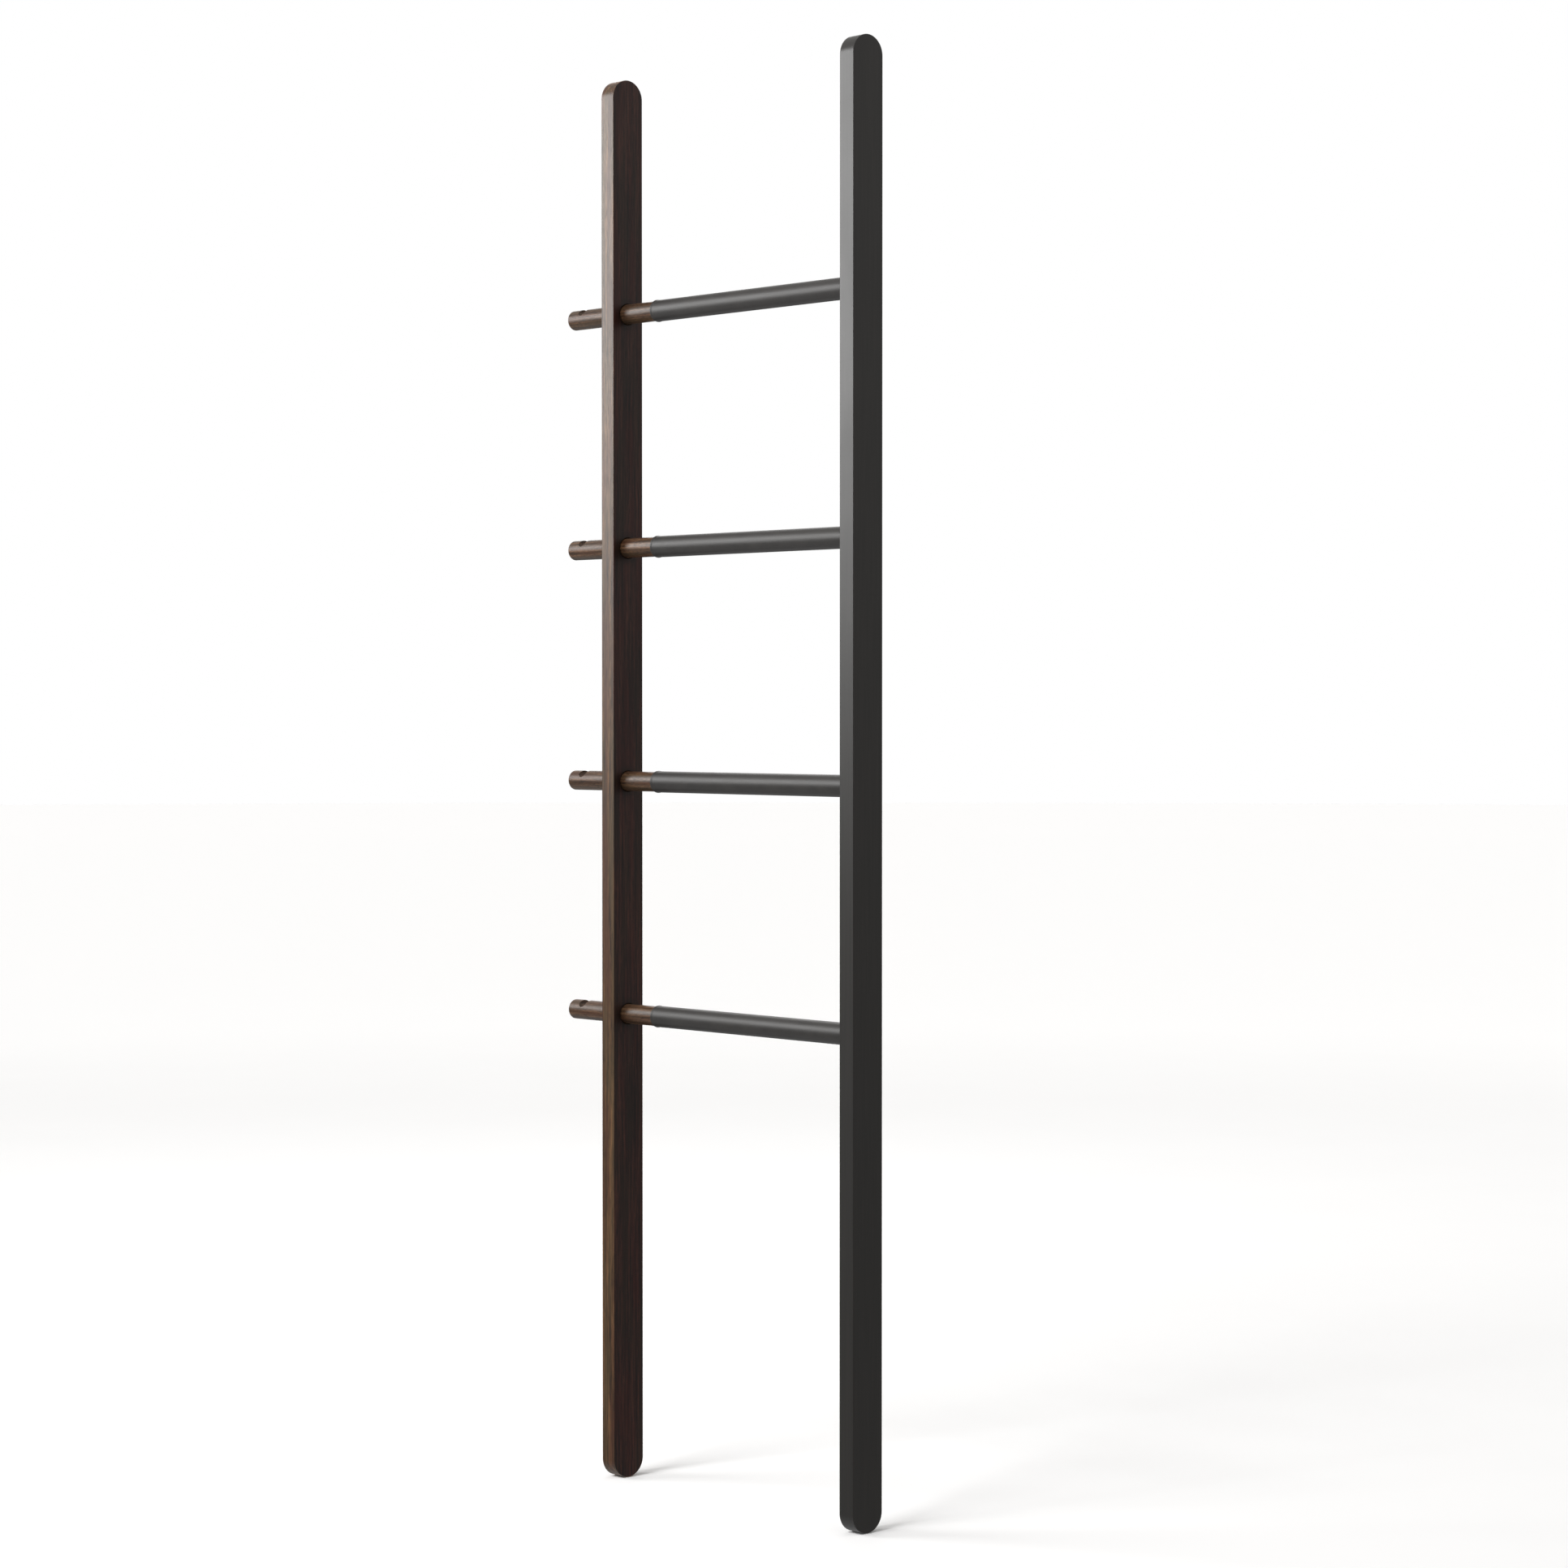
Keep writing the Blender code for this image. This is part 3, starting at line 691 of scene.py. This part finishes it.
# %% [markdown]
# ## The dowels
# A dowel is turned too, but its peg has a notch for a hanger's hook: a slot across the top with a round
# bottom. Where the slot cuts the round section, the section becomes a circle with a flat chord on top. So
# every section is drawn with two runs of points, one along the arc that is left and one across the top, and
# only the chord's height changes along the notch. Its walls stand upright where the slot's sides begin.

# %% Dowels
NOTCH_HALF = 5.5 * MM
NOTCH_DEPTH = 7 * MM
NOTCH_INSET = 21 * MM
END_ROUND = 0.9 * MM
FACE_RINGS = (0.3, 0.6, 0.85)
GROOVE_DEPTH = 1.95 * MM
ARC_POINTS = 81
TOP_POINTS = 17
NOTCH_POINTS = 33
WALL_HEIGHT = DOWEL_RADIUS - NOTCH_DEPTH + NOTCH_HALF
OPENING = math.acos(WALL_HEIGHT / DOWEL_RADIUS)


def sections(x, radius, opening, top_height, height):
    """A section for each x: an arc that leaves the opening angle free at the top, and a run across the top.
    The run is flat at top_height, or follows the arc where top_height is the radius itself."""
    x, radius, opening, top_height = (np.asarray(v, float)[:, None] for v in (x, radius, opening, top_height))
    arc = opening + (2 * math.pi - 2 * opening) * np.linspace(0, 1, ARC_POINTS)[None, :]
    top = opening * np.linspace(-1, 1, TOP_POINTS)[None, 1:]
    round_y, round_z = radius * np.sin(top), radius * np.cos(top)
    flat_y = radius * np.sin(opening) * np.linspace(-1, 1, TOP_POINTS)[None, 1:]
    is_flat = top_height < radius
    top_y = np.where(is_flat, flat_y, round_y)
    top_z = np.where(is_flat, top_height, round_z)
    y = np.concatenate([radius * np.sin(arc), top_y], axis=1)
    z = np.concatenate([radius * np.cos(arc), top_z], axis=1) + height
    return np.stack([np.broadcast_to(x, y.shape), y, z], axis=-1)


def round_dowel(x, radius, height):
    """Sections with no chord; the opening angle stays the notch's own, so that the points run on."""
    return sections(x, radius, np.full(len(x), OPENING), radius, height)


def peg_end(x, way):
    """Centre, flat face and quarter round, from the end at x inwards; way is 1 if the dowel lies to +X."""
    turn = np.linspace(0, math.pi / 2, 7)
    face = DOWEL_RADIUS * np.array(FACE_RINGS)
    radius = np.concatenate([[0], face, DOWEL_RADIUS - END_ROUND * (1 - np.sin(turn))])
    along = np.concatenate([np.zeros(len(face) + 1), END_ROUND * (1 - np.cos(turn))])
    return x + way * along, radius


def dowel(k, height):
    """Peg end, peg, notch, the long run through the rail, the ring's groove and the inner end."""
    start, end = low_high(f"dowel_{k}", 0)
    ring_low, ring_high = low_high(f"friction_ring_{k}", 0)
    groove_radius = DOWEL_RADIUS - GROOVE_DEPTH
    notch = start + NOTCH_INSET
    outer_x, outer_r = peg_end(start, 1)
    inner_x, inner_r = peg_end(end, -1)
    before = np.linspace(start + END_ROUND, notch - NOTCH_HALF, 9)[1:]
    after = np.linspace(notch + NOTCH_HALF, ring_low - CLEARANCE, 40)
    groove = [ring_low - CLEARANCE, ring_high + CLEARANCE, ring_high + CLEARANCE]
    groove_r = [groove_radius, groove_radius, DOWEL_RADIUS]
    slope = np.linspace(-math.pi / 2, math.pi / 2, NOTCH_POINTS)
    across_notch = notch + NOTCH_HALF * np.sin(slope)
    floor = WALL_HEIGHT - NOTCH_HALF * np.cos(slope)
    cut = np.arccos(floor / DOWEL_RADIUS)
    first_x = np.concatenate([outer_x, before])
    first_r = np.concatenate([outer_r, np.full(len(before), DOWEL_RADIUS)])
    last_x = np.concatenate([after, groove, inner_x[::-1]])
    last_r = np.concatenate([np.full(len(after), DOWEL_RADIUS), groove_r, inner_r[::-1]])
    first = round_dowel(first_x, first_r, height)
    notched = sections(across_notch, np.full(NOTCH_POINTS, DOWEL_RADIUS), cut, floor, height)
    last = round_dowel(last_x, last_r, height)
    return np.concatenate([first, notched, last])


for k, height in zip(RUNGS, rung_heights):
    sewn(f"stained_dowel_{k}", [dowel(k, height)], dowel_finish, "wood_side", f"dowel_{k}")

# %% [markdown]
# ## Rubber: foot pads and friction rings
# A pad is a strip bent round the rail's lower end. Its section is a rectangle with rounded corners, and
# shallow cross ribs give it grip. A friction ring is a plain round ring in the dowel's groove that rubs in
# the tube.

# %% Foot pads and rings
PAD_THICKNESS = 1.8 * MM
PAD_PROUD = 0.4 * MM
PAD_CORNER = 0.45 * MM
RIB_DEPTH = 0.18 * MM
RIB_COUNT = 7
ROUND_STEPS = 72


def pad_grid(node):
    """A rounded rectangle carried along the arc; its outer side dips between ribs as 1 - cos does."""
    low, high = low_high(node, 0)
    half_width = (high - low) / 2 - PAD_CORNER
    half_thick = PAD_THICKNESS / 2 - PAD_CORNER
    turn = np.linspace(0, 2 * math.pi, 41)[:-1] + math.pi / 40
    square_x = half_width * np.sign(np.cos(turn)) + PAD_CORNER * np.cos(turn)
    square_r = half_thick * np.sign(np.sin(turn)) + PAD_CORNER * np.sin(turn)
    square_x, square_r = np.append(square_x, square_x[0]), np.append(square_r, square_r[0])
    share = np.linspace(0, 1, 16 * RIB_COUNT + 1)[:, None]
    angle = PAD_HALF_ANGLE * (2 * share - 1)
    rib = RIB_DEPTH * (1 - np.cos(2 * math.pi * RIB_COUNT * share)) / 2
    is_outer = square_r[None, :] > half_thick
    radius = RAIL_HALF + PAD_PROUD - PAD_THICKNESS / 2 + square_r[None, :] - rib * is_outer
    x = np.broadcast_to((low + high) / 2 + square_x[None, :], radius.shape)
    strip = np.stack([x, radius * np.sin(angle), LOWER_CENTRE - radius * np.cos(angle)], axis=-1)
    caps = [np.broadcast_to(strip[i].mean(axis=0), strip[i].shape)[None] for i in (0, -1)]
    return np.concatenate([caps[0], strip, caps[1]])


for side, body in (("black", "black_side"), ("wood", "wood_side")):
    pad = pad_grid(f"{side}_foot_pad")
    sewn(f"{side}_side_pad", [pad], rubber_finish, body, f"{side}_foot_pad")

for k, height in zip(RUNGS, rung_heights):
    low, high = low_high(f"friction_ring_{k}", 0)
    section = (high - low) / 2
    centre_radius = (low_high(f"friction_ring_{k}", 2)[1] - height) - section
    turn = np.linspace(0, 2 * math.pi, 25)
    along = (low + high) / 2 + section * np.cos(turn)
    ring = turned(along, centre_radius + section * np.sin(turn), height, ROUND_STEPS)
    sewn(f"rubber_ring_{k}", [ring], rubber_finish, "wood_side", f"friction_ring_{k}")

# %% [markdown]
# ## Plugs, screws and pins
# A nylon plug is pressed into the tube's rail end, and one long wood screw goes through it into the rail.
# The screw's thread is a true helix: its ridge at a point depends on the distance along the axis, less the
# turn's share of the pitch. The head is a cone with a hexagonal recess, and a hexagon is a circle whose
# radius is divided by the cosine of the angle to the nearest flat. A pin is a short rod with rounded ends.

# %% Plugs, screws and pins
PITCH = 1.6 * MM
THREAD_DEPTH = 0.4 * MM
THREAD_START = 11 * MM
HEAD_HEIGHT = 2.2 * MM
HEAD_RIM = 0.15 * MM
DRIVE_HALF = 1.3 * MM
DRIVE_DEPTH = 1.5 * MM
DRIVE_TIP = 0.4 * MM
PLUG_CHAMFER = 1 * MM
PIN_ROUND = 0.2 * MM
PIN_STEPS = 32


def plug_profile(low, high, radius, bore, sink):
    """Outside with two chamfers, the countersink that faces the mouth, and the bore."""
    sunk = low + HEAD_HEIGHT + CLEARANCE
    x = [high, high - PLUG_CHAMFER, low + PLUG_CHAMFER, low, low, sunk, high, high]
    edge = radius - PLUG_CHAMFER
    r = [edge, radius, radius, edge, sink, bore, bore, edge]
    return x, r


def screw_grid(low, high, shank, head, height, steps=60):
    """Tip, helical thread, plain neck, cone, flat rim and hexagonal recess, all on the same columns."""
    turn = np.linspace(0, 2 * math.pi, steps + 1)[None, :]
    root = shank - THREAD_DEPTH
    thread = np.linspace(high, low + THREAD_START, 260)[:, None]
    phase = ((high - thread) / PITCH - turn / (2 * math.pi)) % 1
    ridge = np.clip(1 - np.abs(phase - 0.5) * 4, 0, 1)
    taper = np.clip((high - thread) / (2 * shank), 0, 1)
    fade = np.clip((thread - low - THREAD_START) / PITCH, 0, 1)
    threaded = taper * (root + THREAD_DEPTH * ridge * fade)
    flat_angle = (turn + math.pi / 6) % (math.pi / 3) - math.pi / 6
    drive = DRIVE_HALF / np.cos(flat_angle)
    drive_floor = low + DRIVE_DEPTH
    rows_x = [low + HEAD_HEIGHT, low + HEAD_RIM, low, low, drive_floor, drive_floor + DRIVE_TIP]
    ones = np.ones_like(turn)
    rows_r = [root * ones, head * ones, (head - HEAD_RIM) * ones, drive, drive, 0 * ones]
    x = np.concatenate([np.broadcast_to(thread, threaded.shape), *(v * ones for v in rows_x)])
    r = np.concatenate([threaded, *rows_r])
    return np.stack([x, r * np.cos(turn), height + r * np.sin(turn)], axis=-1)


def pin_grid(node):
    """A rod along Y, whose ends are a quarter round and a flat face."""
    (x0, x1), (y0, y1), (z0, z1) = (low_high(node, axis) for axis in range(3))
    radius = (z1 - z0) / 2
    arc = np.linspace(0, math.pi / 2, 5)
    face = (radius - PIN_ROUND) * np.array([0, 0.5])
    widening = radius - PIN_ROUND * (1 - np.sin(arc))
    narrowing = radius - PIN_ROUND * (1 - np.cos(arc))
    r = np.concatenate([face, widening, narrowing, face[::-1]])
    lead = PIN_ROUND * (1 - np.cos(arc))
    tail = PIN_ROUND * np.sin(arc)
    y = np.concatenate([[y0, y0], y0 + lead, y1 - PIN_ROUND + tail, [y1, y1]])
    lying = turned(y, r, 0, PIN_STEPS)
    return np.stack([(x0 + x1) / 2 + lying[..., 1], lying[..., 0], (z0 + z1) / 2 + lying[..., 2]], axis=-1)


for k, height in zip(RUNGS, rung_heights):
    low, high = low_high(f"tube_plug_{k}", 0)
    radius = low_high(f"tube_plug_{k}", 2)[1] - height
    head = low_high(f"plug_screw_{k}", 2)[1] - height
    shank = head / 2
    profile = plug_profile(low, high, radius, shank + CLEARANCE, head + CLEARANCE)
    plug = turned(*profile, height, ROUND_STEPS)
    sewn(f"nylon_plug_{k}", [plug], nylon_finish, "black_side", f"tube_plug_{k}")
    screw_low, screw_high = low_high(f"plug_screw_{k}", 0)
    screw = screw_grid(screw_low, screw_high, shank, head, height)
    sewn(f"wood_screw_{k}", [screw], zinc_finish, "black_side", f"plug_screw_{k}")
    pin = pin_grid(f"dowel_pin_{k}")
    sewn(f"steel_pin_{k}", [pin], zinc_finish, "wood_side", f"dowel_pin_{k}")

# %% [markdown]
# ## The floor
# The floor is plain and nearly white, so that only soft shadows show on it. It is a wide disc of matt paper.
# Lamps fade with distance, so the paper glows a little more the further away it lies, which keeps its far
# edge about as bright as the surroundings. It isn't mirrored in the rack and throws no light back on it.

# %% Floor
FLOOR_RADIUS = 30.0
NEAR, FAR = 1.5, 6.0
GLOW_NEAR, GLOW_FAR = 0.015, 0.18
CLOUD_WIDTH = 300 * MM
WHITE = (1, 1, 1, 1)


def disc(radius, steps=96):
    """A round sheet on the floor: rings whose radius grows by the square, and a point in the middle."""
    turn = np.linspace(0, 2 * math.pi, steps + 1)[None, :]
    reach = radius * np.linspace(0, 1, 12)[:, None] ** 2
    return np.stack([reach * np.cos(turn), reach * np.sin(turn), np.zeros((12, steps + 1))], axis=-1)


grid = disc(FLOOR_RADIUS)
mesh = bpy.data.meshes.new("studio_floor")
mesh.from_pydata(grid.reshape(-1, 3).tolist(), [], grid_faces(*grid.shape[:2], 0).tolist())
floor = bpy.data.objects.new("studio_floor", mesh)
bpy.context.scene.collection.objects.link(floor)
paper, tree, shader, place = new_finish("matt_white_paper", Roughness=1.0, Specular_IOR_Level=0.0)
shader.inputs["Emission Color"].default_value = WHITE
distance = add(tree, "ShaderNodeVectorMath", {0: place}, operation="LENGTH").outputs["Value"]
tree.links.new(ranged(tree, distance, GLOW_NEAR, GLOW_FAR, NEAR, FAR), shader.inputs["Emission Strength"])
fibre = mixed(tree, grains(tree, place, CLOUD_WIDTH), linear("#EBEBEB"), linear("#EDEDED"))
tree.links.new(fibre, shader.inputs["Base Color"])
mesh.materials.append(paper)
floor.visible_glossy = False
floor.visible_diffuse = False
print("floor radius in m:", FLOOR_RADIUS)

# %% [markdown]
# ## The lights
# One large soft box to the front left is what the front edges mirror. Its bright part starts at 1.2 m above
# the floor, and a dimmer skirt reaches down to 0.8 m, so the satin front is bright above and fades to near
# black below. A small light gives plain brightness from the front without a reflection of its own, and
# another one behind keeps the far sides readable.

# %% Lights
def soft_box(name, place, aim, width, height, radiance, mirrored=True):
    """A rectangular light of even radiance: its power is radiance times pi times its area."""
    light = bpy.data.lights.new(name, "AREA")
    light.shape = "RECTANGLE"
    light.size = width
    light.size_y = height
    light.energy = radiance * math.pi * width * height
    box = bpy.data.objects.new(name, light)
    bpy.context.scene.collection.objects.link(box)
    direction = np.array(aim) - np.array(place)
    flat_length = math.hypot(direction[0], direction[1])
    box.location = place
    tip = math.atan2(flat_length, -direction[2])
    box.rotation_euler = (tip, 0, math.atan2(-direction[0], direction[1]))
    box.visible_glossy = mirrored
    box.visible_camera = False
    print(name, "power in W:", round(light.energy, 1))


BOX_DISTANCE = 2.75
BOX_WIDTH = 1.4
BOX_TOWARDS = (-0.7456, -0.6661)
BOX_PARTS = (("soft_box", 1.2, 2.7, 6.9), ("soft_box_skirt", 0.8, 1.2, 2.0))
FRONT_FILL = {"place": (-0.2, -1.8, 2.4), "aim": (0, 0, 1.0), "width": 0.5, "height": 0.4, "radiance": 19.0}
REAR_FILL = {"place": (-2.2, 1.9, 2.2), "aim": (0, 0, 0.7), "width": 1.2, "height": 1.2, "radiance": 2.0}
box_x, box_y = (share * BOX_DISTANCE for share in BOX_TOWARDS)
for name, low, high, radiance in BOX_PARTS:
    middle = (low + high) / 2
    soft_box(name, (box_x, box_y, middle), (0, 0, middle), BOX_WIDTH, high - low, radiance)
soft_box("front_fill", **FRONT_FILL, mirrored=False)
soft_box("rear_fill", **REAR_FILL)

# %% [markdown]
# ### A sun for the floor alone
# A broad sun that lights the floor and nothing else gives each foot a soft shadow towards the rear, and the
# rack's own light stays as it was set above. Light linking does this: the sun's receivers are a collection
# that holds only the floor.

# %% A sun for the floor alone
SUN_STRENGTH = 1.9
SUN_SPREAD = 24
SUN_TIP, SUN_TURN = 46, 6
sun = bpy.data.lights.new("floor_sun", "SUN")
sun.energy = SUN_STRENGTH
sun.angle = math.radians(SUN_SPREAD)
sun_lamp = bpy.data.objects.new("floor_sun", sun)
bpy.context.scene.collection.objects.link(sun_lamp)
sun_lamp.rotation_euler = (math.radians(SUN_TIP), 0, math.radians(SUN_TURN))
only_floor = bpy.data.collections.new("lit_by_floor_sun")
only_floor.objects.link(floor)
sun_lamp.light_linking.receiver_collection = only_floor
print("floor sun in W per square metre:", sun.energy)

# %% [markdown]
# ### The surroundings
# The surroundings are dim grey near the horizon and brighter overhead and underfoot for everything that is
# lit or mirrored, which keeps the satin faces deep. They are plain white for what looks straight at them.

# %% Surroundings
DIM, SKY, GROUND = (0.12, 0.12, 0.12, 1), (0.55, 0.54, 0.53, 1), (0.5, 0.5, 0.5, 1)

world = bpy.data.worlds.new("plain_studio")
bpy.context.scene.world = world
world.use_nodes = True
tree = world.node_tree
background = tree.nodes["Background"]
direction = add(tree, "ShaderNodeTexCoord").outputs["Generated"]
height_share = add(tree, "ShaderNodeSeparateXYZ", {0: direction}).outputs["Z"]
above = ranged(tree, height_share, 0, 1, -0.15, 0.25)
below = ranged(tree, height_share, 1, 0, -0.6, -0.2)
dim = mixed(tree, below, mixed(tree, above, DIM, SKY), GROUND)
seen = add(tree, "ShaderNodeLightPath").outputs["Is Camera Ray"]
tree.links.new(mixed(tree, seen, dim, WHITE), background.inputs["Color"])
print("surroundings: dim grey, white to the eye")
